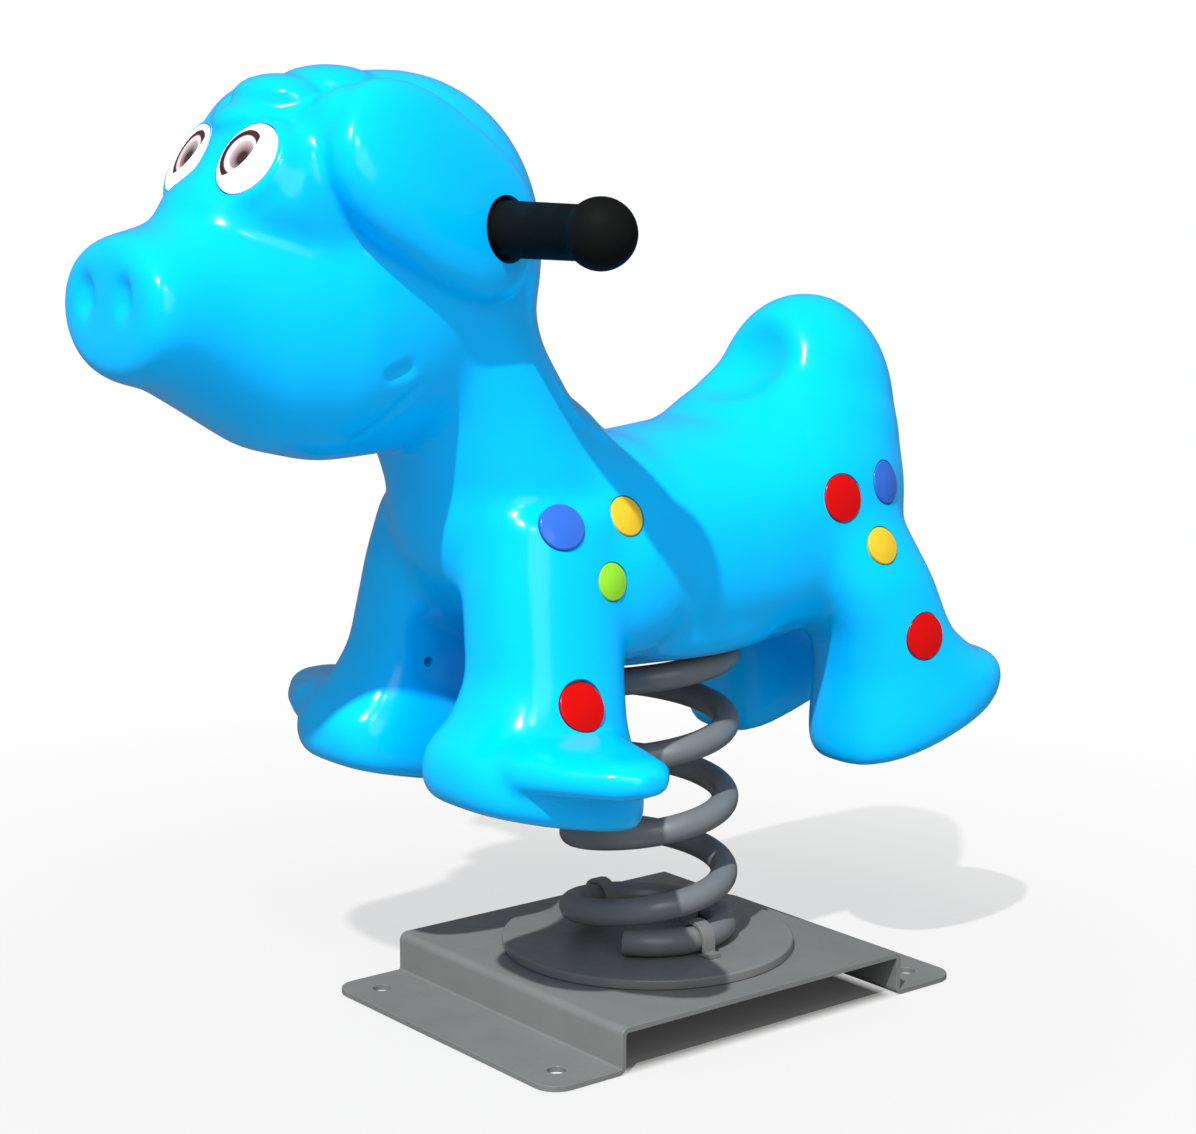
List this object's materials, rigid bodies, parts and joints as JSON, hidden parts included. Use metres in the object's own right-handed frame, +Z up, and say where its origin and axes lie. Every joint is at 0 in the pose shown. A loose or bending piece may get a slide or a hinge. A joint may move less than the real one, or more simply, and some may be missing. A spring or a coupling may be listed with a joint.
{
  "type": "spring rider",
  "caption": "Playground spring rider: a moulded plastic piglet with coloured spots and a cross handlebar, on a coil spring and a folded steel base plate.",
  "frame": {"origin": "on the ground, under the middle of the overall box", "axes": "+X to the animal's left, along the handlebar; -Y to its nose; +Z up"},
  "size_m": [0.481, 0.7948, 0.7559],
  "materials": {
    "blue_plastic": "glossy moulded polyethylene, cyan blue",
    "spot_red": "glossy red plastic",
    "spot_blue": "glossy mid blue plastic",
    "spot_yellow": "glossy yellow plastic",
    "spot_green": "glossy lime green plastic",
    "eye_white": "glossy white plastic",
    "iris_brown": "glossy dark brown",
    "grip_rubber": "black rubber, satin",
    "tube_steel": "plain steel tube, hidden in the head and the grips",
    "zinc_steel": "zinc plated steel",
    "insert_brass": "brass",
    "base_paint": "mid grey paint, satin",
    "spring_paint": "mid grey paint, satin"
  },
  "bodies": {
    "base": {"base_plate": "base_paint", "lower_spring_plate": "base_paint", "lower_spring_clip_left": "base_paint", "lower_spring_clip_rear": "base_paint", "lower_spring_clip_right": "base_paint"},
    "spring": {"coil_spring": "spring_paint"},
    "rider": {"animal_shell": "blue_plastic", "upper_spring_plate": "base_paint", "upper_spring_hook_rear": "base_paint", "upper_spring_hook_right": "base_paint", "upper_spring_hook_front": "base_paint", "mounting_bolt_1": "zinc_steel", "mounting_washer_1": "zinc_steel", "threaded_insert_1": "insert_brass", "mounting_bolt_2": "zinc_steel", "mounting_washer_2": "zinc_steel", "threaded_insert_2": "insert_brass", "mounting_bolt_3": "zinc_steel", "mounting_washer_3": "zinc_steel", "threaded_insert_3": "insert_brass", "mounting_bolt_4": "zinc_steel", "mounting_washer_4": "zinc_steel", "threaded_insert_4": "insert_brass", "handlebar_tube": "tube_steel", "handle_grip_left": "grip_rubber", "eye_white_left": "eye_white", "iris_left": "iris_brown", "handle_grip_right": "grip_rubber", "eye_white_right": "eye_white", "iris_right": "iris_brown", "spot_front_blue_left": "spot_blue", "spot_front_yellow_left": "spot_yellow", "spot_front_green_left": "spot_green", "spot_front_red_left": "spot_red", "spot_rear_red_upper_left": "spot_red", "spot_rear_blue_left": "spot_blue", "spot_rear_yellow_left": "spot_yellow", "spot_rear_red_lower_left": "spot_red", "spot_front_blue_right": "spot_blue", "spot_front_yellow_right": "spot_yellow", "spot_front_green_right": "spot_green", "spot_front_red_right": "spot_red", "spot_rear_red_upper_right": "spot_red", "spot_rear_blue_right": "spot_blue", "spot_rear_yellow_right": "spot_yellow", "spot_rear_red_lower_right": "spot_red"}
  },
  "joints": [
    {"name": "rock_fore_aft", "type": "hinge", "parent": "base", "child": "spring", "pos_m": [0, 0.0932, 0.1735], "axis": [1, 0, 0], "range_deg": [-15, 15], "stiffness_Nm_per_rad": 1300, "springref_deg": -0.53, "deforming": ["coil_spring"]},
    {"name": "rock_sideways", "type": "hinge", "parent": "spring", "child": "rider", "pos_m": [0, 0.0932, 0.1735], "axis": [0, 1, 0], "range_deg": [-12, 12], "stiffness_Nm_per_rad": 1300, "deforming": ["coil_spring"]}
  ]
}
